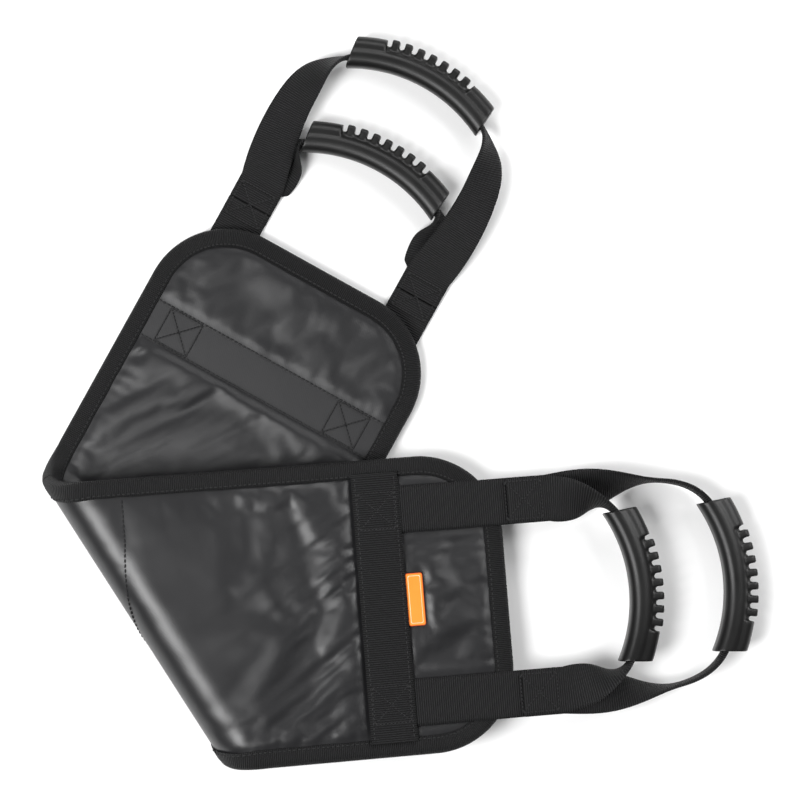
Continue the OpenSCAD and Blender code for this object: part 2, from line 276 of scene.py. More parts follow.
SHELL = nylon("shell_nylon", (0.009, 0.009, 0.010), (0.015, 0.015, 0.016), 0.34, 0.5)
LINING = nylon("lining_nylon", (0.009, 0.009, 0.010), (0.016, 0.016, 0.017), 0.40, 0.32)
# For binding and webbing, the dark and light colours are the painted shade in rib grooves and
# the painted light on rib crests.
BINDING = webbing("binding_grosgrain", (0.003, 0.003, 0.003), (0.030, 0.030, 0.032), 1.3)
WEBBING = webbing("strap_webbing", (0.003, 0.003, 0.003), (0.034, 0.034, 0.036), 1.5)
GRIP = rubber("grip_rubber", (0.005, 0.005, 0.005), (0.009, 0.009, 0.009), 0.36, 1600.0)
LABEL = rubber("label_rubber", (0.85, 0.22, 0.02), (0.92, 0.30, 0.04), 0.45, 1200.0)
RIM = rubber("label_rim_rubber", (0.62, 0.09, 0.015), (0.70, 0.12, 0.02), 0.45, 1200.0)
LINE = rubber("label_line_rubber", (0.92, 0.60, 0.42), (0.95, 0.66, 0.5), 0.5, 1200.0)
THREAD = rubber("stitch_thread", (0.006, 0.006, 0.006), (0.02, 0.02, 0.021), 0.6, 3000.0)


# ---- Mesh helpers ----

def piece(name, points_mm, faces, mat, body=None, uv=None, smooth=True):
    mesh = bpy.data.meshes.new(name)
    mesh.from_pydata((np.asarray(points_mm) * MM).tolist(), [], faces)
    mesh.materials.append(mat)
    if uv is not None:
        layer = mesh.uv_layers.new(name="UVMap")
        corner = np.zeros(len(mesh.loops), int)
        mesh.loops.foreach_get("vertex_index", corner)
        layer.data.foreach_set("uv", np.asarray(uv, float)[corner].ravel())
    mesh.polygons.foreach_set("use_smooth", [smooth] * len(mesh.polygons))
    mesh.validate()
    mesh.update()
    obj = bpy.data.objects.new(name, mesh)
    bpy.context.collection.objects.link(obj)
    if body:
        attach(obj, body)
    return obj


def outward(obj):
    """Turns the faces of a closed mesh outwards."""
    b = bmesh.new()
    b.from_mesh(obj.data)
    bmesh.ops.recalc_face_normals(b, faces=b.faces)
    b.to_mesh(obj.data)
    b.free()


def tube_faces(rings, around, closed_ends=True):
    faces = []
    for i in range(rings - 1):
        for k in range(around):
            a, b = i * around + k, i * around + (k + 1) % around
            faces.append((a, a + around, b + around, b))
    if closed_ends:
        faces.append(tuple(range(around)))
        faces.append(tuple(reversed(range((rings - 1) * around, rings * around))))
    return faces


def smooth_step(t):
    t = np.clip(t, 0, 1)
    return t * t * (3 - 2 * t)


# ---- Distances on the flat strip ----

def edge_distance(u, v):
    """How far a point lies inside the strip's rounded outline."""
    x = np.abs(u) - (HALF_L - CORNER_R)
    y = np.abs(v) - (HALF_W - CORNER_R)
    outside = np.hypot(np.maximum(x, 0), np.maximum(y, 0))
    return CORNER_R - outside - np.minimum(np.maximum(x, y), 0)


def box_distance(u, v, u0, u1, v0, v1):
    """Distance outside a rectangle, 0 within it."""
    dx = np.maximum(np.maximum(u0 - u, u - u1), 0)
    dy = np.maximum(np.maximum(v0 - v, v - v1), 0)
    return np.hypot(dx, dy)


def noise_at(x, y, z=0.0):
    flat = [noise.noise((a, b, z)) for a, b in zip(np.ravel(x), np.ravel(y))]
    return np.array(flat).reshape(np.shape(x))


# ---- Pad covers: a cloth simulation in the flat, then wrapped round the fold ----

GRID = 3.2
CLOTH_SHARE = 0.4
CLOTH_SCALE = 0.01
CLOTH_FRAMES = 26
FOLD_CAP, SHIFT_CAP = 3.2, 1.5
GRID_EDGE = 3.0
TAB_V = 4.0


def simulate(points, quads, held):
    """Cloth that is cut a little larger than its frame, so that it wrinkles."""
    mesh = bpy.data.meshes.new("cloth")
    mesh.from_pydata((points * CLOTH_SCALE).tolist(), [], quads)
    obj = bpy.data.objects.new("cloth", mesh)
    bpy.context.collection.objects.link(obj)
    pins = obj.vertex_groups.new(name="pins")
    for i, weight in enumerate(held):
        if weight > 0:
            pins.add([i], float(weight), "REPLACE")
    cloth = obj.modifiers.new("cloth", "CLOTH")
    s = cloth.settings
    s.quality = 6
    s.mass = 0.15
    s.tension_stiffness = 12
    s.compression_stiffness = 12
    s.shear_stiffness = 4
    s.bending_stiffness = 0.5
    s.tension_damping = s.compression_damping = s.shear_damping = 8
    s.air_damping = 4
    s.shrink_min = -0.022
    s.vertex_group_mass = "pins"
    s.use_pressure = True
    s.uniform_pressure_force = 0.6
    s.effector_weights.gravity = 0
    cloth.collision_settings.use_collision = False
    cloth.point_cache.frame_start = 1
    cloth.point_cache.frame_end = CLOTH_FRAMES
    scene = bpy.context.scene
    for f in range(1, CLOTH_FRAMES + 1):
        scene.frame_set(f)
    graph = bpy.context.evaluated_depsgraph_get()
    result = obj.evaluated_get(graph).to_mesh()
    out = np.zeros(len(result.vertices) * 3)
    result.vertices.foreach_get("co", out)
    obj.evaluated_get(graph).to_mesh_clear()
    bpy.data.objects.remove(obj)
    scene.frame_set(1)
    return out.reshape(-1, 3) / CLOTH_SCALE


def grid_cells(upper):
    """A grid squared to the fold, kept inside the strip's outline."""
    reach = PAD_L * 0.6
    lo, hi = (W_MID, W_MID + 2 * reach) if upper else (W_MID - 2 * reach, W_MID)
    ws = np.arange(lo, hi + GRID / 2, GRID) if upper else np.arange(hi, lo, -GRID)[::-1]
    qs = np.arange(-reach, reach, GRID)
    w, q = np.meshgrid(ws, qs, indexing="ij")
    u, v = to_uv(w, q)
    inside = edge_distance(u, v) > GRID_EDGE
    index = np.full(w.shape, -1)
    cells = inside[:-1, :-1] & inside[1:, :-1] & inside[1:, 1:] & inside[:-1, 1:]
    used = np.zeros(w.shape, bool)
    for di in (0, 1):
        for dj in (0, 1):
            used[di:used.shape[0] - 1 + di, dj:used.shape[1] - 1 + dj] |= cells
    index[used] = np.arange(used.sum())
    i, j = np.nonzero(cells)
    quads = np.stack([index[i, j], index[i + 1, j], index[i + 1, j + 1], index[i, j + 1]], -1)
    return w[used], q[used], quads


def flat_cover(upper, outer):
    """One cover panel before it is wrapped: its moved (w, q), heights, quads and (u, v)."""
    w, q, quads = grid_cells(upper)
    u, v = to_uv(w, q)
    side = 1 if upper else -1
    su = side * u
    rim = edge_distance(u, v) - BINDING_W
    band = box_distance(su, v, BAND_FAR, BAND_NEAR, -HALF_W, HALF_W)
    seams = np.minimum(rim, band)
    straps = np.full(w.shape, 99.0)
    if outer:
        for s in (-1, 1):
            strap = box_distance(su, v, BAND_FAR, HALF_L, s * STRAP_V - WEB_W / 2,
                                 s * STRAP_V + WEB_W / 2)
            straps = np.minimum(straps, strap)
        seams = np.minimum(seams, straps)
        seams = np.minimum(seams, np.abs(u - SEAM_U) + 1.5)
        tab = box_distance(u, v, BAND_NEAR, BAND_NEAR + TAB_W + 2,
                           TAB_V - TAB_L / 2, TAB_V + TAB_L / 2)
        seams = np.minimum(seams, tab)
    near = np.maximum(seams, 0)
    held = np.where(near <= 0.1, 1.0, 0.0)
    held = np.where(np.abs(w - W_MID) < 1.5 * GRID, 1.0, held)

    # Puckers square to the seams, from thread that draws the cloth in.
    along = np.where(rim < band, np.where(np.abs(v) > HALF_W - CORNER_R / 2, u, v), v)
    ridges = 1 - np.abs(noise_at(along / 7.5, near / 38.0, 3.0 * side + outer)) * 2
    pucker = 1.5 * ridges * np.exp(-near / 15.0) * smooth_step(near / 3.0)
    # Long soft folds that run away from the band towards the bend.
    lean = (su * 0.8 + v * side * 0.6) / 46.0
    across = (-su * 0.6 + v * side * 0.8) / 15.0
    fade = smooth_step((su - 20) / 130.0) * smooth_step(near / 10.0)
    folds = 1.9 * noise_at(lean, across, 11.0 + outer) * fade
    crown = 1.3 * (1 - np.exp(-near / 12.0))
    # Gathers that leave the band at a slant and die out towards the bend.
    off_band = np.maximum(BAND_FAR - su, 0)
    slant = (v * side + off_band * 0.7) / 10.0
    gather = 1 - np.abs(noise_at(slant, off_band / 90.0, 21.0 + outer)) * 2.6
    reach = 34.0 - 16.0 * np.clip(v * side / HALF_W, -1, 1)
    pucker = pucker + (2.6 * gather * np.exp(-off_band / reach) * (su < BAND_FAR)
                       * smooth_step(near / 5.0))
    quiet = 0.18 + 0.82 * smooth_step((su - 45) / 75.0) if outer else 0.7
    start = (pucker * 0.5 + folds * 0.5) * quiet
    dx = dy = np.zeros(w.shape)
    dz = start
    flat = np.stack([w, q, start], -1)
    moved = simulate(flat, quads.tolist(), held)
    dx, dy = moved[:, 0] - w, moved[:, 1] - q
    dz = start + (moved[:, 2] - start) * CLOTH_SHARE * quiet
    # Capped, and pressed flat beside the straps.
    dz = (FOLD_CAP * np.tanh((dz + start) / FOLD_CAP)
          * (1 - 0.85 * np.exp(-straps / 4)))
    loose = 1 - held
    h = COVER_H - 0.5 + crown + dz * loose
    h = np.where(w > 0, np.where(w < W_END, np.minimum(h, COVER_H + 1.2), h), h)
    calm = smooth_step(np.abs(w - W_MID) / 12.0)
    h = (COVER_H + 0.4) + (h - COVER_H - 0.4) * calm
    dx = SHIFT_CAP * np.tanh(dx / SHIFT_CAP) * loose * calm
    dy = SHIFT_CAP * np.tanh(dy / SHIFT_CAP) * loose * calm
    return w + dx, q + dy, h, quads, u, v


def cover(name, upper, outer, mat, nodes):
    w, q, h, quads, u, v = flat_cover(upper, outer)
    sign = 1 if outer else -1
    n = len(w)
    skin = wrap(w, q, sign * h)
    back = wrap(w, q, np.full(n, sign * 0.1))
    faces = [tuple(f) for f in quads.tolist()]
    edges = {}
    for f in faces:
        for a, b in zip(f, f[1:] + f[:1]):
            edges[(a, b)] = True
    rim = [(a, b) for a, b in edges if (b, a) not in edges]
    faces += [tuple(i + n for i in reversed(f)) for f in quads.tolist()]
    faces += [(b, a, a + n, b + n) for a, b in rim]
    uv = np.stack([u, v], -1)
    obj = piece(name, np.concatenate([skin, back]), faces, mat, uv=np.concatenate([uv, uv]))
    outward(obj)
    sub = obj.modifiers.new("smooth", "SUBSURF")
    sub.levels = sub.render_levels = 1
    apply_modifiers(obj)
    across_fold(obj, upper)
    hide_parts(*nodes)


def apply_modifiers(obj):
    graph = bpy.context.evaluated_depsgraph_get()
    mesh = bpy.data.meshes.new_from_object(obj.evaluated_get(graph))
    obj.modifiers.clear()
    obj.data = mesh


def across_fold(obj, upper):
    """Bakes a piece's transform into its mesh; lower and upper pieces are treated alike."""
    w0, w1 = (W_MID, W_END) if upper else (0.0, W_MID)
    start, end = wrap(w0, 0.0, 0.0)[0] * MM, wrap(w1, 0.0, 0.0)[0] * MM
    if upper:
        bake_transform(obj)
    else:
        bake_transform(obj)


def make_covers():
    for upper, end in ((False, "back"), (True, "front")):
        cover(f"shell_{end}", upper, True, SHELL,
              [f"outer_shell_{end}", f"foam_core_{end}"]
              + (["outer_shell_bend", "foam_core_bend"] if not upper else []))
        cover(f"lining_{end}", upper, False, LINING,
              [f"inner_lining_{end}"] + (["inner_lining_bend"] if not upper else []))


# ---- Edge binding ----

def outline(step):
    """Points and inward normals round the strip, anticlockwise from the right end's middle."""
    x, y = HALF_L - CORNER_R, HALF_W - CORNER_R
    runs = [((x, -y), -90, 0), ((x, y), 0, 90), ((-x, y), 90, 180), ((-x, -y), 180, 270)]
    points = []
    for centre, a0, a1 in runs:
        count = int(round(math.radians(90) * CORNER_R / step))
        for a in np.linspace(a0, a1, count):
            c, s = math.cos(math.radians(a)), math.sin(math.radians(a))
            points.append((centre[0] + CORNER_R * c, centre[1] + CORNER_R * s, -c, -s))
    points.append(points[0])
    full = []
    for a, b in zip(points, points[1:]):
        count = max(1, int(round(math.hypot(b[0] - a[0], b[1] - a[1]) / step)))
        for k in range(count):
            t = k / count
            full.append([a[i] + (b[i] - a[i]) * t for i in range(4)])
    full = np.array(full)
    full[:, 2:] /= np.linalg.norm(full[:, 2:], axis=1)[:, None]
    return full


# The wrap of the binding: how far in from the edge, and the height, of its outer skin.
WRAP = [(12.6, 4.0), (12.3, 4.7), (9.0, 5.1), (5.0, 5.0), (2.0, 4.6), (0.5, 3.5), (-0.2, 1.8),
        (-0.2, -1.8), (0.5, -3.5), (2.0, -4.6), (5.0, -5.0), (9.0, -5.1), (12.3, -4.7),
        (12.6, -4.0), (11.5, -3.6), (2.2, -3.3), (1.4, 0.0), (2.2, 3.3), (11.5, 3.6)]


def make_binding():
    ring = outline(2.6)
    w, _ = to_wq(ring[:, 0], ring[:, 1])
    upper_run = w > W_MID
    start = int(np.nonzero(upper_run & ~np.roll(upper_run, 1))[0][0])
    ring, w, upper_run = (np.roll(a, -start, axis=0) for a in (ring, w, upper_run))
    split = int(np.nonzero(~upper_run)[0][0])
    closed = np.concatenate([ring, ring[:1]])
    w_closed = np.concatenate([w, w[:1]])
    for upper, lo, hi, end in ((True, 0, split, "front"), (False, split, len(ring), "back")):
        run = closed[lo:hi + 1].copy()
        ends = w_closed[lo:hi + 1]
        # Both ends of the run are moved onto the line where the two halves meet.
        if lo > 0:
            run = np.concatenate([closed[lo - 1:lo], run])
            ends = np.concatenate([w_closed[lo - 1:lo], ends])
        else:
            run = np.concatenate([ring[-1:], run])
            ends = np.concatenate([w[-1:], ends])
        for i, j in ((0, 1), (-1, -2)):
            t = (W_MID - ends[j]) / (ends[i] - ends[j])
            run[i] = run[j] + (run[i] - run[j]) * t
        build_binding(f"edge_binding_{end}_cloth", run, upper, end)


def build_binding(name, run, upper, end):
    length = np.concatenate([[0], np.cumsum(np.hypot(*np.diff(run[:, :2], axis=0).T))])
    points, uv = [], []
    girth = np.concatenate([[0], np.cumsum([math.dist(a, b) for a, b in zip(WRAP, WRAP[1:])])])
    for (x, y, nx, ny), s in zip(run, length):
        swell = 0.28 * noise.noise((s / 9.0, 2.0 if upper else 5.0, 0))
        draw = 0.35 * noise.noise((s / 14.0, 7.0, 1.0))
        for (d, h), g in zip(WRAP, girth):
            puff = 1 + swell / 4 * (1 if d > 1 else 0)
            inset = d + (draw if d > 9 else 0)
            points.append((x + nx * inset, y + ny * inset, h * puff))
            uv.append((s, g))
    points = np.array(points)
    # A cross-section at the meeting line is sheared so that its whole wrap lies on that line.
    m = len(WRAP)
    for row in (slice(0, m), slice(len(points) - m, len(points))):
        _, q = to_wq(points[row, 0], points[row, 1])
        _, v = to_uv(np.full(m, W_MID), q)
        keep = np.sign(v) * (HALF_W - np.abs([d for d, _ in WRAP]))
        shift_u = (W_MID - FOLD_SHIFT + keep * SIN) / COS
        points[row, 0], points[row, 1] = shift_u, keep
    world = on_strip(points[:, 0], points[:, 1], points[:, 2])
    obj = piece(name, world, tube_faces(len(run), m), BINDING, uv=uv)
    outward(obj)
    across_fold(obj, upper)
    nodes = [f"edge_binding_{end}"] + ([] if upper else ["edge_binding_bend"])
    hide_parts(*nodes)


# ---- Stitching ----

def stitch_run(a, b, pitch=3.3):
    """Pairs of end points of the stitches along a line, in (u, v)."""
    a, b = np.array(a, float), np.array(b, float)
    length = np.linalg.norm(b - a)
    count = max(2, int(round(length / pitch)))
    step = (b - a) / count
    return [(a + step * (i + 0.12), a + step * (i + 0.88)) for i in range(count)]


def stitches(name, pairs, height, place, body, blend_side=None, thick=0.5):
    """Small rounded stitches; place turns (u, v, h) into world mm."""
    ring = [(math.cos(a), math.sin(a)) for a in np.arange(6) * math.pi / 3]
    rows = [(0.0, 0.35), (0.15, 0.95), (0.5, 1.1), (0.85, 0.95), (1.0, 0.35)]
    points, faces = [], []
    for a, b in pairs:
        d = (b - a) / np.linalg.norm(b - a)
        side = np.array([-d[1], d[0]])
        base = len(points)
        for t, r in rows:
            c = a + (b - a) * t
            sag = 0.35 * (1 - 4 * t * (1 - t))
            for cx, cz in ring:
                p = c + side * cx * r * thick
                points.append((p[0], p[1], cz * r * thick - sag))
        faces += [tuple(base + i for i in f) for f in tube_faces(len(rows), 6)]
    points = np.array(points)
    world = place(points[:, 0], points[:, 1], points[:, 2] + height)
    obj = piece(name, world, faces, THREAD, uv=points[:, :2])
    outward(obj)
    if blend_side is None:
        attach(obj, body)
    else:
        across_fold(obj, blend_side)


def box_cross(u0, u1, v0, v1):
    corners = [(u0, v0), (u1, v0), (u1, v1), (u0, v1)]
    pairs = []
    for i in range(4):
        pairs += stitch_run(corners[i], corners[(i + 1) % 4], 2.6)
    pairs += stitch_run(corners[0], corners[2], 2.6)
    pairs += stitch_run(corners[1], corners[3], 2.6)
    return pairs


PAD_BOX, OVERLAP_BOX = 12.5, 13


def make_stitching():
    for upper, end, body in ((False, "back", "back_half"), (True, "front", "front_half")):
        side = 1 if upper else -1
        near, far = side * (BAND_NEAR - STITCH_IN), side * (BAND_FAR + STITCH_IN)
        pairs = []
        for line in (near, far):
            pairs += stitch_run((line, 12 - HALF_W), (line, HALF_W - 12))
        mid = side * (BAND_NEAR + BAND_FAR) / 2
        for s in (-1, 1):
            v = s * STRAP_V
            pairs += box_cross(mid - PAD_BOX, mid + PAD_BOX, v - PAD_BOX, v + PAD_BOX)
        stitches(f"band_stitching_{end}", pairs, TOP_H + WEB_T / 2 - 0.1, on_strip, body)
        stitches(f"lining_stitching_{end}", pairs, -(COVER_H + 0.25), on_strip, body)
        ring = outline(3.3)
        inner = ring[:, :2] + ring[:, 2:] * (BINDING_W - 1.8)
        rim_pairs = []
        for a, b in zip(inner, np.roll(inner, -1, axis=0)):
            w0, _ = to_wq(*a)
            w1, _ = to_wq(*b)
            if (w0 > W_MID and w1 > W_MID) == upper and (w0 - W_MID) * (w1 - W_MID) > 0:
                rim_pairs.append((a + (b - a) * 0.12, a + (b - a) * 0.88))
        for face, height in (("outer", 5.0), ("inner", -5.0)):
            stitches(f"binding_stitching_{face}_{end}", rim_pairs, height, on_strip, body, upper)
    # The seam across the outer shell, cut where the two sides meet at the bend.
    seam = stitch_run((SEAM_U, 14 - HALF_W), (SEAM_U, HALF_W - 14))
    for upper, end in ((False, "back"), (True, "front")):
        kept = [p for p in seam if all((to_wq(*e)[0] > W_MID) == upper for e in p)]
        if kept:
            stitches(f"shell_seam_{end}", kept, COVER_H + 0.3, on_strip, None, upper)


# ---- Webbing ----

class Path:
    """Cross-sections of a strap: centre, width and thickness directions, width and thickness."""

    def __init__(self):
        self.rows = []

    def add(self, m, centre, wide, thick, w, t):
        c = carry(m, centre)[0]
        a = np.asarray(wide) @ m[:3, :3].T
        b = np.asarray(thick) @ m[:3, :3].T
        self.rows.append((c, a, b, w, t))

    def reversed_rows(self):
        return [(c, -a, b, w, t) for c, a, b, w, t in reversed(self.rows)]


SECTION_N = 14


def section(w, t, cup):
    """Webbing's outline: flat faces and rounded edges, cupped where it is gathered."""
    points = []
    for sign in (1, -1):
        for k in range(SECTION_N):
            x = sign * (0.5 - k / (SECTION_N - 1))
            edge = math.sqrt(max(0.0, 1 - (2 * abs(x)) ** 10))
            points.append((x * w, sign * t / 2 * max(edge, 0.25) + cup * (0.5 - 4 * x * x)))
    return points


def strap(name, rows, nodes, start_len=0.0):
    points, uv, s = [], [], start_len
    for i, (c, a, b, w, t) in enumerate(rows):
        if i:
            s += float(np.linalg.norm(c - rows[i - 1][0]))
        gather = (WEB_W - w) / (WEB_W - GATHERED_W)
        for x, y in section(w, t, 1.6 * gather):
            points.append(c + a * x + b * y)
            uv.append((s, x * (1 + gather * 0.5)))
    around = 2 * SECTION_N
    obj = piece(name, points, tube_faces(len(rows), around), WEBBING, uv=uv)
    outward(obj)
    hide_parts(*nodes)
    return obj


def bezier(p, t):
    return ((1 - t) ** 3 * p[0] + 3 * t * (1 - t) ** 2 * p[1] + 3 * t * t * (1 - t) * p[2]
            + t ** 3 * p[3])


def bezier_slope(p, t):
    return (3 * (1 - t) ** 2 * (p[1] - p[0]) + 6 * t * (1 - t) * (p[2] - p[1])
            + 3 * t * t * (p[3] - p[2]))


def ramp(t, lo, hi):
    return float(smooth_step((t - lo) / (hi - lo)))


def leg(path, m, start_u, h, reach, skew, side, grip_h, turn_over, bend, lift, steps=30):
    a = math.radians(side * GRIP_ANGLE / 2) - side * 3 / GRIP_MID
    x, y = reach - GRIP_MID + GRIP_MID * math.cos(a), GRIP_MID * math.sin(a)
    k = math.radians(skew)
    finish = np.array([x * math.cos(k) - y * math.sin(k),
                       x * math.sin(k) + y * math.cos(k), grip_h])
    entry = math.radians(side * GRIP_ANGLE / 2 + skew)
    inwards = np.array([math.sin(entry) * side, -math.cos(entry) * side, 0])
    start = np.array([start_u, side * STRAP_V, h])
    gap = np.linalg.norm(finish - start)
    rise = np.array([0, 0, lift])
    p = [start, start + np.array([gap * bend[0], side * bend[2], 0]) + rise,
         finish - inwards * gap * bend[1] + rise, finish]
    for i in range(steps + 1):
        t = i / steps
        d = bezier_slope(p, t)
        d /= np.linalg.norm(d)
        square = np.array([-d[1], d[0], 0]) / math.hypot(d[0], d[1])
        mixed = np.array([0, 1, 0]) * (1 - ramp(t, 0, 0.3)) + square * ramp(t, 0, 0.3)
        across = mixed / np.linalg.norm(mixed)
        up = np.cross(d, across)
        angle = math.radians(90 * ramp(t, *turn_over) * side)
        wide = math.cos(angle) * across + math.sin(angle) * up
        thick = math.cos(angle) * up - math.sin(angle) * across
        g = ramp(t, 0, 1)
        path.add(m, bezier(p, t), wide, thick, WEB_W + (GATHERED_W - WEB_W) * g,
                 WEB_T + (GATHERED_T - WEB_T) * g)


def through_grip(m, reach, skew, grip_h):
    path = Path()
    half = GRIP_ANGLE / 2 - 2
    k = math.radians(skew)
    for a in np.radians(np.linspace(-half, half, 24)):
        x, y = reach - GRIP_MID + GRIP_MID * math.cos(a), GRIP_MID * math.sin(a)
        centre = (x * math.cos(k) - y * math.sin(k), x * math.sin(k) + y * math.cos(k), grip_h)
        inward = (-math.cos(a + k), -math.sin(a + k), 0)
        path.add(m, centre, (0, 0, -1), inward, GATHERED_W, GATHERED_T)
    return path


def straight(path, m, u0, u1, v, h, step=4.0):
    count = max(2, int(round(abs(u1 - u0) / step)))
    for k in range(count):
        path.add(m, (u0 + (u1 - u0) * k / count, v, h), (0, 1, 0), (0, 0, 1), WEB_W, WEB_T)


def loop_rows(m, flat, start_u, h, reach, skew, grip_h, turn_over, bend, lift):
    """A whole loop: out along one side, through the grip and back along the other.
    With a flat frame given, it starts from the cross band and not from the overlap."""
    if flat is not None:
        first = PIVOT_GAP
    elif h:
        first = TOP_START + (BACK_HINGE if m is BACK else 0)
    else:
        first = UNDER_START
    sides = []
    for side in (-1, 1):
        path = Path()
        if flat is not None:
            straight(path, flat, PAD_TAIL, -PIVOT_GAP, side * STRAP_V, h)
        straight(path, m, first, start_u, side * STRAP_V, h)
        leg(path, m, start_u, h, reach, skew, side, grip_h, turn_over, bend, lift)
        sides.append(path)
    return (sides[0].rows + through_grip(m, reach, skew, grip_h).rows
            + sides[1].reversed_rows())


LAYER = TOP_H - WEB_H
FRONT_REACH = (157.5, 91.5)
BACK_REACH = (152.5, 86.5)
SKEW = 1.2
BACK_GRIP_H = TOP_H + WEB_T / 2 - WEB_H - GRIP_D / 2 - 1.6
BACK_OUTER_H = BACK_GRIP_H + BACK_REACH[0] * math.sin(math.radians(BACK_TILT))
BACK_INNER_H = BACK_GRIP_H + BACK_REACH[1] * math.sin(math.radians(BACK_TILT))
FRONT_INNER_H = 2
BAND_INSET = 70
PAD_TAIL = -(BAND_INSET + WEB_W - 1)
TOP_START, UNDER_START, TAIL_END = 5, 16, 15
BACK_HINGE = 3


def on_loop(m):
    def place(u, v, h):
        return carry(m, np.stack([u, v, h], -1))
    return place


def bend_at(obj):
    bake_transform(obj)


def make_loops():
    obj = strap("front_long_webbing", loop_rows(
        FRONT, FRONT_FLAT, OVERLAP, 0, FRONT_REACH[0], SKEW, 0,
        turn_over=(0, 0.6), bend=(0.45, 0.3, 6), lift=-4),
        ["front_long_strap", "strap_tails_front"])
    bend_at(obj)
    obj = strap("front_short_webbing", loop_rows(
        FRONT, None, OVERLAP + PIVOT_GAP, LAYER, FRONT_REACH[1], SKEW, FRONT_INNER_H,
        turn_over=(0.1, 0.9), bend=(0.3, 0.3, -4), lift=8),
        ["front_short_strap", "front_short_strap_ends"])
    bend_at(obj)
    obj = strap("back_short_webbing", loop_rows(
        BACK, None, OVERLAP, LAYER, BACK_REACH[1], SKEW, BACK_INNER_H,
        turn_over=(0.3, 1), bend=(0.3, 0.3, -14), lift=3), ["back_short_strap"])
    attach(obj, "back_short_loop")
    obj = strap("back_long_webbing", loop_rows(
        BACK, None, OVERLAP + PIVOT_GAP, 0, BACK_REACH[0], SKEW, BACK_OUTER_H,
        turn_over=(0.5, 1), bend=(0.35, 0.3, 8), lift=-15),
        ["back_long_strap", "back_long_strap_ends"])
    bend_at(obj)
    for side, word in ((-1, "left"), (1, "right")):
        path = Path()
        straight(path, BACK_FLAT, PAD_TAIL, -PIVOT_GAP, side * STRAP_V, 0)
        straight(path, BACK, PIVOT_GAP, TAIL_END, side * STRAP_V, 0)
        path.add(BACK, (TAIL_END, side * STRAP_V, 0), (0, 1, 0), (0, 0, 1), WEB_W, WEB_T)
        obj = strap(f"back_tail_webbing_{word}", path.rows, ["strap_tails_back"])
        bend_at(obj)
    for m, body, end in ((FRONT, "front_long_loop", "front"), (BACK, "back_short_loop", "back")):
        for face, height in (("top", LAYER + WEB_T / 2 + 0.15), ("under", -WEB_T / 2 - 0.15)):
            pairs = []
            for s in (-1, 1):
                v = s * STRAP_V
                pairs += box_cross(3.5, 28.5, v - OVERLAP_BOX, v + OVERLAP_BOX)
            stitches(f"overlap_stitching_{face}_{end}", pairs, height, on_loop(m), body)


def make_bands():
    for side, end, body in ((-1, "back", "back_half"), (1, "front", "front_half")):
        path = Path()
        mid = side * (BAND_NEAR + BAND_FAR) / 2
        half = HALF_W - BINDING_W + 3
        count = 70
        m = flap(FOLD_ANGLE if side > 0 else 0)
        for v in np.linspace(-half, half, count):
            wave = 0.12 * noise.noise((v / 13.0, side, 0))
            path.add(m, (mid, v, TOP_H + wave), (1, 0, 0), (0, 0, 1), WEB_W, WEB_T)
        obj = strap(f"cross_band_{end}_webbing", path.rows, [f"cross_band_{end}"])
        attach(obj, body)


# ---- Grips ----

def arc_solid(a0, a1, section_pts, hole=None, steps=40):
    """A section (r, z) carried round an arc, with an optional bore of the same corner count."""
    angles = np.radians(np.linspace(a0, a1, steps + 1))
    n = len(section_pts)
    points, faces = [], []

    def ring(pts):
        for a in angles:
            for r, z in pts:
                points.append((r * math.cos(a), r * math.sin(a), z))

    ring(section_pts)
    if hole is None:
        return points, tube_faces(steps + 1, n)
    faces += tube_faces(steps + 1, n, False)
    offset = len(points)
    ring(hole)
    faces += [tuple(offset + i for i in reversed(f)) for f in tube_faces(steps + 1, n, False)]
    for k in range(n):
        j = (k + 1) % n
        faces.append((k, j, offset + j, offset + k))
        last = steps * n
        faces.append((last + j, last + k, offset + last + k, offset + last + j))
    return points, faces


def rounded(r_lo, r_hi, depth, radius, corners=6):
    pts = []
    for cx, cz, a0 in ((r_hi, 1, 0), (r_lo, 1, 90), (r_lo, -1, 180), (r_hi, -1, 270)):
        sx = -1 if cx == r_hi else 1
        for k in range(corners + 1):
            a = math.radians(a0 + 90 * k / corners)
            pts.append((cx + sx * radius + radius * math.cos(a),
                        cz * (depth / 2 - radius) + radius * math.sin(a)))
    return pts


SLOT_HALF_T = 1.9
CUT_BLOCK = 0.06
FIRST_VOXEL, LAST_VOXEL = 0.0007, 0.0006


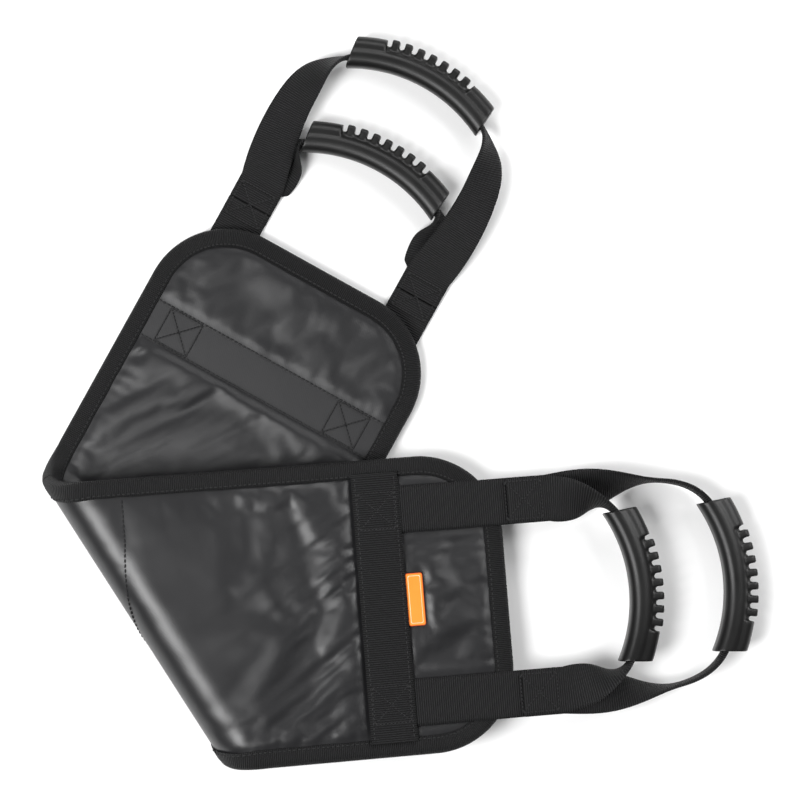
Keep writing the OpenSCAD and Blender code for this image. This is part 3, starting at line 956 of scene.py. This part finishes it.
def grip_mesh():
    half = GRIP_ANGLE / 2
    long = half + END_OVERRUN
    top = GRIP_R + GRIP_T
    slot = rounded(GRIP_MID - SLOT_HALF_T, GRIP_MID + SLOT_HALF_T, GATHERED_W + 1, 1.0)
    parts = [arc_solid(-long, long, rounded(GRIP_R, top, GRIP_D, 7.0), slot)]
    parts.append(arc_solid(-LIP_FROM - 1, LIP_FROM + 1,
                           rounded(top - 5, top + 2, GRIP_D - 8, 3.0)))
    for a in (-long, LIP_FROM):
        parts.append(arc_solid(a, a + long - LIP_FROM,
                               rounded(top - 9, top + RIB_H - 1, GRIP_D - 3.5, 7.4), steps=16))
    for i in range(RIB_COUNT):
        a = (i - RIB_COUNT // 2) * RIB_PITCH
        parts.append(arc_solid(a - RIB_HALF_ARC, a + RIB_HALF_ARC,
                               rounded(top - 5, top + RIB_H, GRIP_D - 7, 2.6), steps=6))
    points, faces = [], []
    for p, f in parts:
        faces += [tuple(len(points) + i for i in face) for face in f]
        points += p
    obj = piece("grip_form", points, faces, GRIP)
    outward(obj)
    remesh(obj, FIRST_VOXEL)
    # The ends are cut nearly square to the chord, not to the curve.
    for side in (-1, 1):
        bpy.ops.mesh.primitive_cube_add(size=CUT_BLOCK)
        block = bpy.context.object
        a, t = math.radians(half), math.radians(side * END_TILT)
        x, y = GRIP_MID * math.cos(a) * MM, side * GRIP_MID * math.sin(a) * MM
        reach = side * CUT_BLOCK / 2
        block.location = (x - reach * math.sin(t), y + reach * math.cos(t), 0)
        block.rotation_euler = (0, 0, t)
        cut = obj.modifiers.new("cut", "BOOLEAN")
        cut.operation = "DIFFERENCE"
        cut.object = block
        cut.solver = "FAST"
        apply_modifiers(obj)
        bpy.data.objects.remove(block)
    remesh(obj, LAST_VOXEL)
    soft = obj.modifiers.new("soften", "SMOOTH")
    soft.factor = 0.5
    soft.iterations = 8
    thin = obj.modifiers.new("thin", "DECIMATE")
    thin.ratio = 0.4
    apply_modifiers(obj)
    data = obj.data
    bpy.data.objects.remove(obj)
    return data


def remesh(obj, size):
    fuse = obj.modifiers.new("fuse", "REMESH")
    fuse.mode = "VOXEL"
    fuse.voxel_size = size
    apply_modifiers(obj)


def make_grips():
    form = grip_mesh()
    flat = np.zeros(len(form.vertices) * 3)
    form.vertices.foreach_get("co", flat)
    local = flat.reshape(-1, 3) / MM
    faces = [tuple(p.vertices) for p in form.polygons]
    for name, m, reach, skew, h, body in (
            ("front_outer_grip", FRONT, FRONT_REACH[0], SKEW, 0, "front_long_loop"),
            ("front_inner_grip", FRONT, FRONT_REACH[1], SKEW, FRONT_INNER_H,
             "front_short_loop"),
            ("back_outer_grip", BACK, BACK_REACH[0], SKEW, BACK_OUTER_H, "back_long_loop"),
            ("back_inner_grip", BACK, BACK_REACH[1], SKEW, BACK_INNER_H, "back_short_loop")):
        place = m @ turn("z", skew) @ shift(reach - GRIP_MID, 0, h)
        world = carry(place, local)
        turned = faces if np.linalg.det(place[:3, :3]) > 0 else [f[::-1] for f in faces]
        obj = piece(f"{name}_moulding", world, turned, GRIP, body)
        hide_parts(name)


# ---- Label tab ----

def rounded_outline(length, width, radius, corners=6):
    pts = []
    for sx, sy, a0 in ((1, 1, 0), (-1, 1, 90), (-1, -1, 180), (1, -1, 270)):
        for k in range(corners + 1):
            a = math.radians(a0 + 90 * k / corners)
            pts.append((sx * (width / 2 - radius) + radius * math.cos(a),
                        sy * (length / 2 - radius) + radius * math.sin(a)))
    return pts


def layered(name, outlines, mat):
    """A low moulding from outlines at rising heights: [(length, width, radius, h), ...]."""
    u_mid, v_mid = BAND_NEAR + TAB_W / 2, TAB_V
    points = []
    for length, width, radius, h in outlines:
        points += [(u_mid + x, v_mid + y, h) for x, y in rounded_outline(length, width, radius)]
    points = np.array(points)
    around = len(points) // len(outlines)
    world = on_strip(points[:, 0], points[:, 1], points[:, 2])
    obj = piece(name, world, tube_faces(len(outlines), around), mat, smooth=False)
    outward(obj)
    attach(obj, "front_half")
    return obj


def make_label():
    base = COVER_H + 1.0
    rim = layered("label_tab_rim", [
        (TAB_L, TAB_W, 1.6, base - 0.6), (TAB_L, TAB_W, 1.6, base + 0.7),
        (TAB_L - 0.6, TAB_W - 0.6, 1.4, base + 1.0)], RIM)
    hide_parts("label_tab")
    for name, inset, rise, mat in (("field", 1.2, 1.15, LABEL), ("border", 3.4, 1.25, LINE),
                                   ("middle", 4.1, 1.35, LABEL)):
        size = (TAB_L - inset, TAB_W - inset, 1.1)
        layered(f"label_tab_{name}", [(*size, base + 0.8), (*size, base + rise - 0.1),
                                      (size[0] - 0.3, size[1] - 0.3, 1.0, base + rise)], mat)


# ---- Studio ----

def area_light(name, place, aim, size, power):
    light = bpy.data.lights.new(name, "AREA")
    light.shape = "RECTANGLE"
    light.size, light.size_y = size
    light.energy = power
    obj = bpy.data.objects.new(name, light)
    obj.location = place
    obj.rotation_euler = (Vector(aim) - Vector(place)).to_track_quat("-Z", "Y").to_euler()
    bpy.context.collection.objects.link(obj)


VIEW_SPAN, VIEW_HEIGHT = 0.557, 1.78
FLOOR_Z, FLOOR_HALF = -0.0005, 4.0


def make_studio():
    lo, hi = np.array(CAD_BOX[0]), np.array(CAD_BOX[1])
    middle = (lo + hi) / 2
    cam = bpy.data.cameras.new("camera")
    cam.sensor_width = 36
    cam.lens = cam.sensor_width * VIEW_HEIGHT / VIEW_SPAN
    obj = bpy.data.objects.new("camera", cam)
    obj.location = (middle[0], middle[1], VIEW_HEIGHT)
    bpy.context.collection.objects.link(obj)
    bpy.context.scene.camera = obj

    mesh = bpy.data.meshes.new("floor")
    s = FLOOR_HALF
    mesh.from_pydata([(x, y, FLOOR_Z) for x, y in ((-s, -s), (s, -s), (s, s), (-s, s))],
                     [], [(0, 1, 2, 3)])
    floor = bpy.data.objects.new("floor", mesh)
    paper, tree, shader = material("floor_paper", (0.93, 0.93, 0.93), 0.9)
    grain = node(tree, "ShaderNodeTexNoise", Scale=60.0)
    vary_colour(tree, shader, grain.outputs["Fac"], (0.92, 0.92, 0.92), (0.95, 0.95, 0.95))
    mesh.materials.append(paper)
    bpy.context.collection.objects.link(floor)

    x, y = middle[0], middle[1]
    area_light("key", (x - 0.85, y - 0.45, 1.5), (x - 0.1, y - 0.1, 0), (0.7, 0.9), 36)
    area_light("right", (x + 1.1, y + 0.5, 0.9), (x, y, 0), (0.6, 1.2), 15)
    area_light("top_edge", (x + 0.1, y + 1.2, 0.9), (x, y, 0), (1.4, 0.5), 11)
    world = bpy.data.worlds.new("studio")
    world.use_nodes = True
    world.node_tree.nodes["Background"].inputs["Color"].default_value = (1, 1, 1, 1)
    world.node_tree.nodes["Background"].inputs["Strength"].default_value = 0.13
    bpy.context.scene.world = world
    bpy.context.scene.view_settings.view_transform = "Standard"


make_studio()
make_covers()
make_binding()
make_bands()
make_loops()
make_grips()
make_label()
make_stitching()
